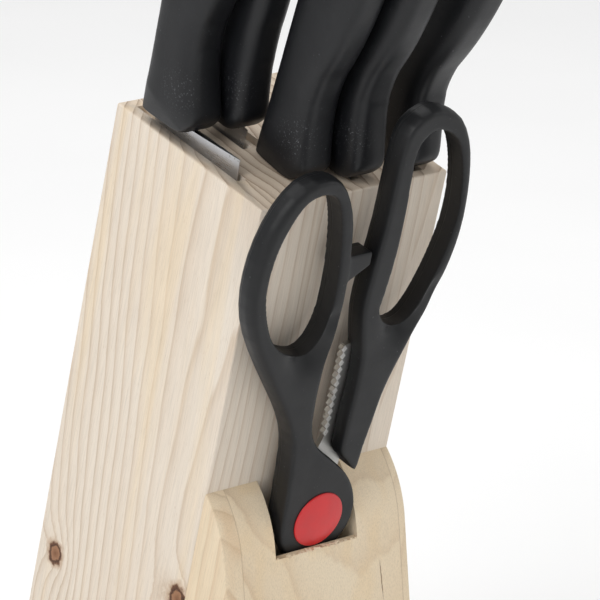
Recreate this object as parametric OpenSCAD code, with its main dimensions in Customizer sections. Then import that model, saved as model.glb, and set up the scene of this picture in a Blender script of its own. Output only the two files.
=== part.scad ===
// Leaning knife block: five knives in slots in its top face, kitchen scissors
// hanging in a notched foot on its front face.
// Frame: origin at the middle of the block's bottom face, on the table.
// +X to the right, -Y to the front (the scissors side), +Z up.

/* [Block] */
// Depth of the block from its front face to its back face
block_d = 73.5; // [72:0.5:95]
// Length of the front face from the top edge down to the table
block_l = 225; // [215:1:280]
// Forward lean of the block from upright, in degrees
lean = 16; // [8:0.5:18]
// Width of every blade slot
slot_w = 3.6; // [3:0.1:4.4]

/* [Row of knives] */
// First slot's middle from the left side of the block
left_margin = 6.3; // [5:0.1:12]
// Last slot's middle from the right side of the block
right_margin = 9.4; // [5:0.1:16]
// Step from the paring knife to the bread knife, which stands in front of it
nested_step = 5.2; // [5:0.1:6]
// Step from the slicing knife to the utility knife
wide_step = 23.6; // [17:0.1:30]
// Air between handles that stand side by side
handle_gap = 0.5; // [0.4:0.1:3]
// Air between the bread knife's back and the paring knife's front
nested_gap = 1.2; // [0.8:0.1:4]

/* [Knife handles] */
// Thickness of the handles
handle_t = 14.8; // [13:0.2:19]
// Thickness of the paring knife's handle
paring_handle_t = 14.4; // [11:0.2:17]
// Length of the handles
handle_len = 124; // [110:1:136]
// Length of the paring knife's handle
paring_handle_len = 118; // [104:1:130]
// How much deeper the chef's knife handle is than the others
chef_deep = 1.3; // [1:0.01:1.34]

/* [Knife blades] */
// Thickness of the knife blades
blade_t = 2; // [1.2:0.1:2.2]
// Width of the tang inside a handle
tang_w = 9; // [6:0.5:11]
// Length of the tang inside a handle
tang_l = 72; // [50:1:84]
// Air between a blade tip and the bottom of its slot
tip_gap = 4; // [0.5:0.5:12]
// Chef's knife blade: length
chef_l = 190; // [150:1:200]
// Chef's knife blade: height at the heel
chef_h = 42; // [26:0.5:43]
// Bread knife blade: length
bread_l = 190; // [150:1:200]
// Bread knife blade: height
bread_h = 21; // [16:0.5:22]
// Slicing knife blade: length
slicing_l = 190; // [150:1:200]
// Slicing knife blade: height
slicing_h = 15; // [12:0.5:18]
// Utility knife blade: length
utility_l = 130; // [100:1:160]
// Utility knife blade: height
utility_h = 20; // [14:0.5:21]
// Paring knife blade: length
paring_l = 90; // [70:1:120]
// Paring knife blade: height
paring_h = 18; // [13:0.5:19]

/* [Foot] */
// Foot top, measured down the front face from its top edge
foot_drop = 101; // [96:1:106]
// How far the foot's front stands out from the block at the notch floor
foot_out = 15.6; // [15.4:0.1:22]
// Outward slope of the foot's front from upright, in degrees
foot_slope = 5.5; // [0:0.5:8]
// Radius of the rounded top of the foot
nose_r = 38; // [30:1:46]
// Width of the foot's left stave
left_stave = 7.1; // [4:0.1:14]
// Width of the foot's right stave
right_stave = 3; // [2:0.1:14]
// Diameter of the dowels that hold the foot
dowel_d = 6; // [4:0.5:7]
// Length of the dowels
dowel_l = 22; // [14:1:26]

/* [Scissors] */
// Width of the notch that the scissors stand in
notch_w = 33.6; // [31:0.2:40]
// Pivot of the scissors below the foot's top, along the front face
pivot_drop = 10.6; // [9:0.1:14]
// How far the rim of the notch lies below the pivot
rim_drop = 9.8; // [9.8:0.1:14]
// Radius of the round hub that stands in the notch
hub_r = 15.2; // [13:0.1:15.4]
// Thickness of each scissor blade
shear_t = 1.8; // [1.2:0.1:2.2]
// Length of the scissor blades below the pivot
shear_l = 80; // [60:1:84]
// Diameter of the pivot bolt
bolt_d = 5; // [4:0.1:6]
// Diameter of the red cap over the pivot
cap_d = 19.2; // [12:0.2:19.4]
// Thickness of the scissor handles
loop_t = 8.4; // [8:0.1:8.8]
// How far the outer edges of the loops are rounded off
loop_edge = 3; // [1:0.1:3.4]
// Air between the scissor handles' back and the front face of the block
loop_air = 4.8; // [4.2:0.1:5.2]

/* [Clearances] */
// Radial play of the pivot bolt in the blades and the hub
pivot_play = 0.05; // [0.02:0.01:0.09]
// Air between parts that slide past each other in the scissors
slide_gap = 0.04; // [0.02:0.01:0.1]
// Air round glued or moulded-in pieces
seat_gap = 0.02; // [0.01:0.01:0.05]

/* [Hidden] */

// The row of slots, left to right: chef, paring, bread, slicing, utility
chef_step = (handle_t + paring_handle_t) / 2 + handle_gap;
side_step = handle_t + handle_gap;
block_w = left_margin + chef_step + nested_step + side_step + wide_step + right_margin;
chef_x = -block_w / 2 + left_margin;
paring_x = chef_x + chef_step;
bread_x = paring_x + nested_step;
slicing_x = bread_x + side_step;
utility_x = slicing_x + wide_step;

// Where each knife's spine crosses the top face, back from the front edge
bread_v = 29.9;
slicing_v = 22.7;
utility_v = 25;
chef_v = 62.2;
bread_guard = 22;
slicing_guard = 22;
utility_guard = 23.5;
chef_guard = 23.8;
paring_guard = 20;
waist_depth = 17.7;
bread_waist = 19;
chef_waist = 19.5;
paring_waist = 17.5;
belly_depth = 30;
paring_belly = 20;
collar_back = 1.6;
tang_in = 4.6;
paring_v = bread_v + collar_back + nested_gap + 1.05 * paring_belly;

// How each knife leans in its slot, forward from the block's own lean, in degrees
chef_tilt = -3;
paring_tilt = 3;
bread_tilt = 3;
slicing_tilt = 3;
utility_tilt = 8;

// Air between each handle and the top face, and so how high each knife stands
collar_foot = 0.74;
function lift_for(air, guard, tilt) = air + collar_foot * guard * max(0, sin(tilt));
chef_lift = lift_for(3.6, chef_guard, chef_tilt);
paring_lift = lift_for(5.7, paring_guard, paring_tilt);
bread_lift = lift_for(0.15, bread_guard, bread_tilt);
slicing_lift = lift_for(1.7, slicing_guard, slicing_tilt);
utility_lift = lift_for(0.2, utility_guard, utility_tilt);

// Slot walls in front of and behind the blades; the chef's blade leans forward
// in its slot, which is that much deeper
slot_air = 1.6;
chef_sway = 0.6;
slot_back = block_d - 4.5;

top_y = -block_d / (2 * cos(lean)) - block_l * sin(lean);
top_z = block_l * cos(lean);
pivot_z = -foot_drop - pivot_drop;
rim_z = pivot_z - rim_drop;
// Front and back of the scissor handles from the middle of the blade pair, and
// the pocket's front wall, which stands a little in front of the hub
hub_front = -5.8;
loop_back = loop_t + hub_front;
shear_v = -loop_air - loop_back;
hub_air = 0.5;
wall_v = shear_v + hub_front - hub_air;

// Dowels: two in each of two boards, clear of the slots
dowel_x = [paring_x - slot_w / 2 - 5, utility_x - slot_w / 2 - 6.5];
dowel_first = 30;
dowel_apart = 34;

// How far a cut runs past a face, and a length greater than the whole object
past = 5;
far = 400;

// Block frame: x across, y back from the front face, z up from the top front edge
module in_block() {
    translate([0, top_y, top_z]) rotate([lean, 0, 0]) children();
}

// Point of the block's side view, as [Y, Z] in the part's own frame
function side_at(v, l) = [top_y + v * cos(lean) - l * sin(lean),
                          top_z + v * sin(lean) + l * cos(lean)];

// Distance down the block to the table, at depth v
function to_table(v) = (top_z + v * sin(lean)) / cos(lean);

// Draws an outline given as [Y, Z] and extrudes it from x0 to x1
module across(x0, x1) {
    translate([x0, 0, 0]) rotate([90, 0, 90]) linear_extrude(height = x1 - x0) children();
}

// Smooth curve through points (Catmull-Rom), open between the first and last
function at_end(p, i) = p[max(0, min(len(p) - 1, i))];
function blend4(a, b, c, d, t) =
    0.5 * (2 * b + (c - a) * t + (2 * a - 5 * b + 4 * c - d) * t * t
           + (3 * b - a - 3 * c + d) * t * t * t);
function open_curve(p, n) =
    concat([for (i = [0 : len(p) - 2]) for (k = [0 : n - 1])
               blend4(at_end(p, i - 1), p[i], p[i + 1], at_end(p, i + 2), k / n)],
           [p[len(p) - 1]]);
function closed_curve(p, n) =
    [for (i = [0 : len(p) - 1]) for (k = [0 : n - 1])
        blend4(p[(i + len(p) - 1) % len(p)], p[i], p[(i + 1) % len(p)],
               p[(i + 2) % len(p)], k / n)];

// ---------------------------------------------------------------- block boards

// Side outline of the whole block
module block_side() {
    back_l = -to_table(block_d);
    polygon([side_at(0, 0), side_at(block_d, 0), side_at(block_d, back_l), side_at(0, -block_l)]);
}

// Slot milled in the right face of a board
module slot_cut(x, front_v, depth) {
    in_block() translate([x - slot_w / 2, front_v, -depth])
        cube([slot_w + past, slot_back - front_v, depth + past]);
}

// Dowel hole from the front face into a board
module dowel_hole(x, l, play) {
    in_block() translate([x, dowel_l / 2, l]) rotate([90, 0, 0])
        cylinder(d = dowel_d + 2 * play, h = dowel_l, $fn = 48);
}

function dowel_level(i) = rim_z - dowel_first - dowel_apart * i;

module dowel_holes(play) {
    for (x = dowel_x, i = [0, 1]) dowel_hole(x, dowel_level(i), play);
}

module left_cheek_board() {
    color("#ddc9ab") difference() {
        across(-block_w / 2, chef_x + slot_w / 2) block_side();
        slot_cut(chef_x, chef_v - chef_h - slot_air - chef_sway, chef_l - chef_lift + tip_gap);
    }
}

module chef_side_board() {
    color("#dcc8aa") difference() {
        across(chef_x + slot_w / 2, paring_x + slot_w / 2) block_side();
        slot_cut(paring_x, paring_v - paring_h - slot_air, paring_l - paring_lift + tip_gap);
        dowel_holes(seat_gap);
    }
}

module thin_middle_board() {
    color("#dfcbae") difference() {
        across(paring_x + slot_w / 2, bread_x + slot_w / 2) block_side();
        slot_cut(bread_x, bread_v - bread_h - slot_air, bread_l - bread_lift + tip_gap);
    }
}

module centre_board() {
    color("#dbc7a8") difference() {
        across(bread_x + slot_w / 2, slicing_x + slot_w / 2) block_side();
        slot_cut(slicing_x, slicing_v - slicing_h - slot_air,
                 slicing_l - slicing_lift + tip_gap);
    }
}

module wide_right_board() {
    color("#ddc9ac") difference() {
        across(slicing_x + slot_w / 2, utility_x + slot_w / 2) block_side();
        slot_cut(utility_x, utility_v - utility_h - slot_air,
                 utility_l - utility_lift + tip_gap);
        dowel_holes(seat_gap);
    }
}

module right_cheek_board() {
    color("#dac6a7") across(utility_x + slot_w / 2, block_w / 2) block_side();
}

// ------------------------------------------------------------------- the foot

rim_at = side_at(-foot_out, rim_z);
seam_at = side_at(0, -foot_drop);
foot_base_y = rim_at[0] - rim_at[1] * tan(foot_slope);

// Foot's front line, as a half plane in [Y, Z]
module behind_front_line() {
    slant = far * tan(foot_slope);
    polygon([[foot_base_y, 0], [foot_base_y + far, 0],
             [foot_base_y + slant + far, far], [foot_base_y + slant, far]]);
}

// Round top: a circle that touches the front line and passes through the seam
nose_n = [-cos(foot_slope), sin(foot_slope)];
nose_seam_gap = (seam_at - [foot_base_y, 0]) * [-nose_n[0], -nose_n[1]];
nose_along = sqrt(max(1, nose_r * nose_r - pow(nose_r - nose_seam_gap, 2)));
front_dir = [sin(foot_slope), cos(foot_slope)];
seam_along = (seam_at - [foot_base_y, 0]) * front_dir;
nose_c = [foot_base_y, 0] + front_dir * (seam_along - nose_along) - nose_n * nose_r;

module foot_side() {
    intersection() {
        behind_front_line();
        polygon([side_at(0, -foot_drop), side_at(0, -block_l),
                 [foot_base_y - nose_r, 0], [foot_base_y - nose_r, seam_at[1]]]);
        union() {
            translate(nose_c) circle(r = nose_r, $fn = 96);
            translate([foot_base_y - nose_r, 0]) square([far, nose_c[1]]);
        }
    }
}

// Notch in the foot's front wall, and the pocket behind it that the closed
// blades hang in: their tips stand on its bottom
module notch_cut() {
    pocket_l = shear_l - rim_drop + slide_gap;
    in_block() translate([-notch_w / 2, -far, rim_z]) cube([notch_w, far, far]);
    in_block() translate([-notch_w / 2, wall_v, rim_z - pocket_l])
        cube([notch_w, -wall_v, pocket_l + past]);
}

module foot_left_stave() {
    color("#cda877") across(-block_w / 2, -block_w / 2 + left_stave) foot_side();
}

module foot_middle_stave() {
    color("#dcc196") difference() {
        across(-block_w / 2 + left_stave, block_w / 2 - right_stave) foot_side();
        notch_cut();
        dowel_holes(seat_gap);
    }
}

module foot_right_stave() {
    color("#d9bd92") across(block_w / 2 - right_stave, block_w / 2) foot_side();
}

module foot_dowels() {
    color("#c9a777") dowel_holes(-seat_gap);
}

// ------------------------------------------------------------------ the knives

// Knife frame: x across the blade, y towards the spine, z up the handle,
// origin on the spine line at the bottom of the handle
module knife_at(x, v, lift, tilt) {
    in_block() translate([x, v, lift]) rotate([tilt, 0, 0]) children();
}

// Handle's side view: [height share, back, front, share of the thickness, squareness],
// for a finger guard, a waist and a belly of the given depths
function grip_line(guard, waist, belly) =
    let (bend = belly / belly_depth)
    [[0.000, collar_back, -guard * collar_foot, 0.95, 0.45],
     [0.016, collar_back - 0.3, -guard * 0.89, 0.98, 0.48],
     [0.048, collar_back - 0.7, -guard, 1.00, 0.52],
     [0.100, 0.5, -guard * 0.95, 0.99, 0.58],
     [0.170, 0.2, -guard * 0.35 - waist * 0.58, 0.94, 0.62],
     [0.225, 0.0, -waist, 0.92, 0.64],
     [0.300, -0.3, -waist * 0.82 - belly * 0.18, 0.94, 0.66],
     [0.400, -0.8 * bend, -waist * 0.46 - belly * 0.54, 0.98, 0.68],
     [0.520, -1.6 * bend, -waist * 0.17 - belly * 0.83, 1.00, 0.70],
     [0.650, -2.9 * bend, -belly, 1.00, 0.70],
     [0.780, -4.6 * bend, -belly, 0.98, 0.70],
     [0.880, -6.3 * bend, -belly * 1.03, 0.97, 0.70],
     [0.950, -8.4 * bend, -belly * 1.04, 0.92, 0.74],
     [0.985, -11.4 * bend, -belly, 0.78, 0.80],
     [1.000, -15.5 * bend, -belly * 0.88, 0.52, 0.90]];

// Rounded section of the handle with flat sides, at height z
function grip_ring(z, back, front, half_t, square, n) =
    [for (i = [0 : n - 1]) let (a = 360 * i / n, c = cos(a), s = sin(a))
        [half_t * sign(c) * pow(abs(c), square),
         (back + front) / 2 + (back - front) / 2 * sign(s) * pow(abs(s), square + 0.06), z]];

// Solid skin through rings of n points each
module loft(rings, n) {
    count = len(rings);
    points = [for (r = rings) for (p = r) p];
    walls = [for (k = [0 : count - 2]) for (i = [0 : n - 1])
                let (a = k * n + i, b = k * n + (i + 1) % n, c = a + n, d = b + n)
                each [[a, d, b], [a, c, d]]];
    bottom = [for (i = [0 : n - 1]) i];
    top = [for (i = [0 : n - 1]) count * n - 1 - i];
    polyhedron(points = points, faces = concat(walls, [bottom, top]), convexity = 6);
}

ring_points = 20;

module grip(length, thick, guard, waist, belly, deep) {
    line = grip_line(guard, waist, belly);
    knots = [for (k = line) [k[0] * length, k[1] * deep, k[2] * deep, k[3] * thick / 2, k[4]]];
    smooth = open_curve(knots, 2);
    loft([for (k = smooth) grip_ring(k[0], k[1], k[2], k[3], k[4], ring_points)], ring_points);
}

// Blade's side view: straight spine that drops to the tip, curved cutting edge
function blade_line(length, height, heel, bend, drop) =
    concat([[-1.2, 0], [-1.2, heel], [-height, heel], [-height, -length * 0.02]],
           [for (i = [1 : 11]) let (t = i / 12)
               [-height + (height - drop) * pow(t, bend), -length * (0.02 + 0.98 * t)]],
           [[-drop, -length]],
           [for (i = [1 : 5]) let (t = 1 - i / 6)
               [-1.2 - (drop - 1.2) * pow(t, 1.6), -length * (0.62 + 0.38 * t)]]);

module blade_solid(length, height, heel, bend, drop, play) {
    half = blade_t / 2 + play;
    across(-half, half) union() {
        polygon(blade_line(length, height, heel, bend, drop));
        translate([-tang_in - tang_w - play, -1]) square([tang_w + 2 * play, tang_l + 1 + play]);
    }
}

steel = "#b9bcc0";
black = "#1c1d20";

module chef_shape(play) { blade_solid(chef_l, chef_h, 0, 2.6, 5, play); }
module bread_shape(play) { blade_solid(bread_l, bread_h, 0, 7, 7, play); }
module slicing_shape(play) { blade_solid(slicing_l, slicing_h, 0, 4, 4, play); }
module utility_shape(play) { blade_solid(utility_l, utility_h, 0, 2.2, 3, play); }
module paring_shape(play) { blade_solid(paring_l, paring_h, 0, 2, 3, play); }

module at_chef() { knife_at(chef_x, chef_v, chef_lift, chef_tilt) children(); }
module at_bread() { knife_at(bread_x, bread_v, bread_lift, bread_tilt) children(); }
module at_slicing() { knife_at(slicing_x, slicing_v, slicing_lift, slicing_tilt) children(); }
module at_utility() { knife_at(utility_x, utility_v, utility_lift, utility_tilt) children(); }
module at_paring() { knife_at(paring_x, paring_v, paring_lift, paring_tilt) children(); }

module chef_blade() { color(steel) at_chef() chef_shape(0); }
module bread_blade() { color(steel) at_bread() bread_shape(0); }
module slicing_blade() { color(steel) at_slicing() slicing_shape(0); }
module utility_blade() { color(steel) at_utility() utility_shape(0); }
module paring_blade() { color(steel) at_paring() paring_shape(0); }

module chef_handle() {
    color(black) at_chef() difference() {
        grip(handle_len, handle_t, chef_guard, chef_waist, belly_depth, chef_deep);
        chef_shape(seat_gap);
    }
}

module bread_handle() {
    color(black) at_bread() difference() {
        grip(handle_len, handle_t, bread_guard, bread_waist, belly_depth, 1);
        bread_shape(seat_gap);
    }
}

module slicing_handle() {
    color(black) at_slicing() difference() {
        grip(handle_len, handle_t, slicing_guard, waist_depth, belly_depth, 1);
        slicing_shape(seat_gap);
    }
}

module utility_handle() {
    color(black) at_utility() difference() {
        grip(handle_len, handle_t, utility_guard, waist_depth, belly_depth, 1);
        utility_shape(seat_gap);
    }
}

module paring_handle() {
    color(black) at_paring() difference() {
        grip(paring_handle_len, paring_handle_t, paring_guard, paring_waist, paring_belly, 1);
        paring_shape(seat_gap);
    }
}

// ---------------------------------------------------------------- the scissors

// Scissor frame: origin on the pivot between the two blades,
// x across, y back towards the block, z up towards the loops
module in_shears() {
    in_block() translate([0, shear_v, pivot_z]) children();
}

// Draws an outline given as [X, Z] and extrudes it from y0 (front) to y1 (back)
module through(y0, y1) {
    translate([0, y1, 0]) rotate([90, 0, 0]) linear_extrude(height = y1 - y0) children();
}

// Thumb loop, shank and hub of the left half, from the bottom of the hub up the
// inside, round the loop and down the outside
function on_hub(a) = hub_r * [cos(a), sin(a)];
left_line = [on_hub(-90), on_hub(-57.4), on_hub(-26.6), on_hub(0), on_hub(20.8),
             [12.2, 10], [8.6, 15], [2.2, 20.8], [-5.6, 27.5], [-9.4, 34], [-10.4, 42], [-10.5, 51],
             [-9.8, 59], [-8.4, 66.5], [-7.5, 75], [-7.6, 86], [-8.4, 97], [-10.2, 108.5],
             [-13.2, 117], [-17.8, 123.8], [-24, 126.2], [-33, 124.6], [-40.4, 117.4],
             [-45.2, 106.5], [-47, 95], [-46.2, 84], [-42.4, 73], [-34.4, 59.5], [-24.6, 45],
             [-19, 35], [-16.4, 26], [-15.4, 14],
             on_hub(169), on_hub(206.6), on_hub(237.4)];
left_hole = [[-24, 121], [-31, 119.6], [-36, 113], [-39.5, 104], [-40.8, 94], [-40, 86],
             [-37, 77], [-33, 70.3], [-27, 65.8], [-20, 63.8], [-15.5, 66.9], [-12.8, 74],
             [-12, 84], [-13, 97], [-15.3, 109.5], [-18.8, 118]];

// Finger loop of the right half, longer than the thumb loop
right_line = [[13, 142.8], [6, 138.5], [3.6, 131], [3.2, 118], [3, 105], [2, 93], [0.9, 80],
              [1.3, 72.5], [2.7, 65], [4.4, 57], [4.7, 48], [4.3, 38], [4, 29], [4.4, 23],
              [7.6, 19.4], [12.3, 14.8], [13.7, 23], [15.7, 32], [17.8, 42], [21.2, 51.5],
              [25.4, 60.5], [30, 71], [33.8, 81.5], [36.4, 92], [37.2, 102], [36.6, 112],
              [35, 121.5], [32.3, 130], [27.5, 137.5], [20.5, 142]];
right_hole = [[17.5, 136], [12.3, 134.2], [9.6, 129], [9.8, 119], [10.4, 105], [9.9, 91],
              [8.6, 80], [8, 74], [11.5, 69], [17, 66.9], [22, 69.2], [26.8, 77.5],
              [31, 90], [33, 102], [32.2, 113], [29.8, 123], [25.5, 131.5]];

// Plate with rounded edges: rings of the outline, drawn in towards both faces.
// The side that faces outward_x is rounded most, and the loops more than the hub.
function edge_in(p, into, outward_x) =
    loop_edge * (0.16 + 0.2 * min(1, max(0, (p[1] - 20) / 40)))
    + loop_edge * 0.64 * min(1, max(0, (p[1] - 20) / 40)) * max(0, -into[0] * outward_x);

module rounded_plate(line, outward_x) {
    p = closed_curve(line, 2);
    n = len(p);
    into = [for (i = [0 : n - 1]) let (d = p[(i + 1) % n] - p[(i + n - 1) % n])
               [-d[1], d[0]] / norm(d)];
    half = loop_t / 2;
    middle = hub_front + half;
    rings = [for (u = [1.1, 0.8, 0.4, -0.4, -0.8, -1.1])
        [for (i = [0 : n - 1]) let (bend = 1 - sqrt(max(0, 1 - u * u)),
                                    q = p[i] + into[i] * edge_in(p[i], into[i], outward_x) * bend)
            [q[0], middle + half * u, q[1]]]];
    intersection() {
        loft(rings, n);
        translate([-far / 2, hub_front, -far / 2]) cube([far, loop_t, far]);
    }
}

// Closed blade pair: half width of one blade below the pivot
function shear_half(d) = 7.5 * pow(1 - pow(d / shear_l, 1.9), 0.8);

// Bare steel edge between the shanks: a row of points that step in and out
function jaw(x0, z0, x1, z1, count, bite) =
    [for (i = [0 : 2 * count]) let (k = i / (2 * count))
        [x0 + (x1 - x0) * k + (i % 2) * bite, z0 + (z1 - z0) * k]];

// One blade below the pivot, from its back round the tip to its cutting side;
// edge_x is the side that cuts
function shear_blade(edge_x) =
    concat([for (i = [1 : 9]) let (d = shear_l * i / 10) [-edge_x * 0.55 * shear_half(d), -d]],
           [[0, -shear_l]],
           [for (i = [9 : -1 : 1]) let (d = shear_l * i / 10) [edge_x * shear_half(d), -d]]);

// Left half's steel, with the smooth-toothed side of the nutcracker
module left_steel_side() {
    difference() {
        polygon(concat([[-7, -2]], shear_blade(1), [[8, 3], [5.5, 11], [-4.5, 24]],
                       jaw(-8.2, 32, -8.9, 50, 5, -1.1),
                       [[-11.5, 54], [-15, 50], [-13.5, 38], [-11.5, 24], [-8.5, 8]]));
        circle(d = bolt_d + 2 * pivot_play, $fn = 48);
    }
}

// Right half's steel, with the sharp-toothed side of the nutcracker
module right_steel_side() {
    difference() {
        polygon(concat([[7, -2]], shear_blade(-1), [[-8, 3], [-5.5, 11], [-2, 20]],
                       jaw(0.8, 27, 1.4, 60, 11, 1.3),
                       [[9, 62], [14, 56], [12.5, 40], [10.6, 24], [8.5, 8]]));
        circle(d = bolt_d + 2 * pivot_play, $fn = 48);
    }
}

module left_steel(play) {
    through(-shear_t - slide_gap / 2 - play, -slide_gap / 2 + play)
        left_steel_side();
}

module right_steel(play) {
    through(slide_gap / 2 - play, shear_t + slide_gap / 2 + play)
        right_steel_side();
}

module shear_left_blade() { color(steel) in_shears() left_steel(0); }
module shear_right_blade() { color(steel) in_shears() right_steel(0); }

// Stop that keeps the loops apart when the scissors are closed
stop_line = [[-9.5, 96.5], [0.2, 96.5], [0.4, 92], [-3.5, 89.8], [-9.5, 86.5]];
stop_in = 0.6;

// Left handle: its hub lies in front of both blades. Behind its front wall it is
// cut away, right of the shank and below the steels' shoulders, so that the right
// half can turn
shank_x = -9.6;
shoulder_z = -4;
hub_top = 30;
module shear_left_handle() {
    behind_hub = -shear_t - slide_gap / 2 - seat_gap;
    color(black) in_shears() difference() {
        union() {
            rounded_plate(left_line, -1);
            through(hub_front + stop_in, loop_back - stop_in) polygon(stop_line);
        }
        through(hub_front - past, loop_back + past) polygon(closed_curve(left_hole, 3));
        translate([shank_x, behind_hub, hub_top - far]) cube(far);
        translate([shank_x - far, behind_hub, shoulder_z - far]) cube([far + past, far, far]);
        left_steel(seat_gap);
        rotate([90, 0, 0]) cylinder(d = bolt_d + 2 * pivot_play, h = far, $fn = 48);
    }
}

module shear_right_handle() {
    color(black) in_shears() difference() {
        rounded_plate(right_line, 1);
        through(hub_front - past, loop_back + past) polygon(closed_curve(right_hole, 3));
        right_steel(seat_gap);
    }
}

// ------------------------------------------------------------------- the pivot

// Bolt head, cap and nut: widths and thicknesses
head_d = 10;
head_t = 0.7;
cap_t = 1.3;
nut_d = 10;
nut_t = 2.2;
bolt_front = hub_front - slide_gap;
bolt_back = shear_t + slide_gap / 2 + slide_gap;

module pivot_bolt() {
    color(steel) in_shears() {
        through(bolt_front - head_t, bolt_front) circle(d = head_d, $fn = 48);
        through(bolt_front, bolt_back + nut_t) circle(d = bolt_d, $fn = 48);
    }
}

module pivot_nut() {
    color(steel) in_shears() difference() {
        through(bolt_back, bolt_back + nut_t) circle(d = nut_d, $fn = 6);
        through(bolt_back - past, bolt_back + nut_t + past)
            circle(d = bolt_d + 2 * seat_gap, $fn = 48);
    }
}

// Domed cap, pressed over the bolt head
module pivot_cap() {
    crown = [for (i = [0 : 6]) let (r = cap_d / 2 * (1 - i / 6))
                [r, cap_t * (0.35 + 0.65 * (1 - pow(2 * r / cap_d, 2)))]];
    color("#d2232b") in_shears() translate([0, bolt_front, 0]) rotate([90, 0, 0]) difference() {
        rotate_extrude($fn = 64) polygon(concat([[0, 0], [cap_d / 2, 0]], crown));
        translate([0, 0, -past])
            cylinder(d = head_d + 2 * seat_gap, h = head_t + seat_gap + past, $fn = 48);
    }
}

left_cheek_board();
chef_side_board();
thin_middle_board();
centre_board();
wide_right_board();
right_cheek_board();
foot_left_stave();
foot_middle_stave();
foot_right_stave();
foot_dowels();
chef_blade();
chef_handle();
paring_blade();
paring_handle();
bread_blade();
bread_handle();
slicing_blade();
slicing_handle();
utility_blade();
utility_handle();
shear_left_blade();
shear_left_handle();
shear_right_blade();
shear_right_handle();
pivot_bolt();
pivot_nut();
pivot_cap();
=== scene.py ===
import math

import bmesh
import bpy
import numpy as np
from mathutils import Matrix, Vector


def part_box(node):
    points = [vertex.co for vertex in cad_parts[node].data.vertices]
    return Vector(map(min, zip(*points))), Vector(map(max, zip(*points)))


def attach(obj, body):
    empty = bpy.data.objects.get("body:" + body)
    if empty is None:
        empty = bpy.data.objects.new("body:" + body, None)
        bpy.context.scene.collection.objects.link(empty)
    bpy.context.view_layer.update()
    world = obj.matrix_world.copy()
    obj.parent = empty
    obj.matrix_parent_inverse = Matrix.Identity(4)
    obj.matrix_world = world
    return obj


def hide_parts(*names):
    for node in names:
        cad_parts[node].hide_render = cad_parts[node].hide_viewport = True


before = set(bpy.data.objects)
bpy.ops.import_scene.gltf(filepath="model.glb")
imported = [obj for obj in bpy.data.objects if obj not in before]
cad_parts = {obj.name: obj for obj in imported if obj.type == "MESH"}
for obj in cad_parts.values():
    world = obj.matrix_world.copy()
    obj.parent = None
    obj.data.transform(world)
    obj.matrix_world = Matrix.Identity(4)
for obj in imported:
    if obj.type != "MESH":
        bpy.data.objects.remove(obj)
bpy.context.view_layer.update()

# ------------------------------------------------------------------ block boards
# Six pine boards glued side by side, planed flush, their outer edges eased with
# a file. Each board but the last has a blade slot milled in its right face.

lean = math.radians(16)
block_depth = 0.0735
board_ease = 0.0007

board_lo, board_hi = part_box("left_cheek_board")
block_left = board_lo.x
block_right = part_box("right_cheek_board")[1].x
front_edge = Vector((0, board_lo.y, board_hi.z - block_depth * math.sin(lean)))
in_block = Matrix.Translation(front_edge) @ Matrix.Rotation(lean, 4, "X")
to_block = in_block.inverted()


def piece_from(name, build, body, slot_name, *nodes):
    """A mesh piece from a filled bmesh, riding on its body in place of its nodes."""
    mesh = bpy.data.meshes.new(name)
    build.to_mesh(mesh)
    build.free()
    piece = bpy.data.objects.new(name, mesh)
    bpy.context.scene.collection.objects.link(piece)
    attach(piece, body)
    if nodes:
        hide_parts(*nodes)
    return piece


def merged(node):
    """The node's solid with its triangles joined and its flats made whole."""
    build = bmesh.new()
    build.from_mesh(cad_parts[node].data)
    bmesh.ops.remove_doubles(build, verts=build.verts, dist=1e-6)
    bmesh.ops.dissolve_limit(build, angle_limit=math.radians(0.4), verts=build.verts,
                             edges=build.edges, delimit={"NORMAL"})
    return build


def ease(build, chosen, width):
    """Rounds the crisp edges whose two faces are both chosen."""
    edges = [e for e in build.edges if len(e.link_faces) == 2
             and e.calc_face_angle(0) > 0.5 and all(chosen(f) for f in e.link_faces)]
    bmesh.ops.bevel(build, geom=edges, offset=width, segments=3, profile=0.5,
                    affect="EDGES", clamp_overlap=True)


def smooth_curves(piece, degrees=20):
    """Shades curved runs smoothly and leaves the flats flat."""
    for face in piece.data.polygons:
        face.use_smooth = True
    piece.data.set_sharp_from_angle(angle=math.radians(degrees))


def outside_block(face):
    """Whether a face lies on the outside of the glued block."""
    at = to_block @ face.calc_center_median()
    n = to_block.to_3x3() @ face.normal
    if abs(n.x) > 0.9:
        return min(abs(at.x - block_left), abs(at.x - block_right)) < 1e-4
    if abs(n.y) > 0.9:
        return min(abs(at.y), abs(at.y - block_depth)) < 1e-4
    return abs(at.z) < 1e-4 or face.calc_center_median().z < 1e-4


def srgb(*rgb):
    """Linear colour from 0-255 display values."""
    return tuple(c / 3294.6 if c <= 10 else ((c / 255 + 0.055) / 1.055) ** 2.4 for c in rgb) + (1,)


def tree_node(tree, kind, out=0, settings=None, **inputs):
    """A new node with its inputs set or linked; i0, i1 name inputs by number."""
    made = tree.nodes.new(kind)
    for key, value in (settings or {}).items():
        setattr(made, key, value)
    for key, value in inputs.items():
        key = int(key[1:]) if key[0] == "i" and key[1:].isdigit() else key.replace("_", " ")
        if isinstance(value, bpy.types.NodeSocket):
            tree.links.new(value, made.inputs[key])
        else:
            made.inputs[key].default_value = value
    return made.outputs[out]


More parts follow.
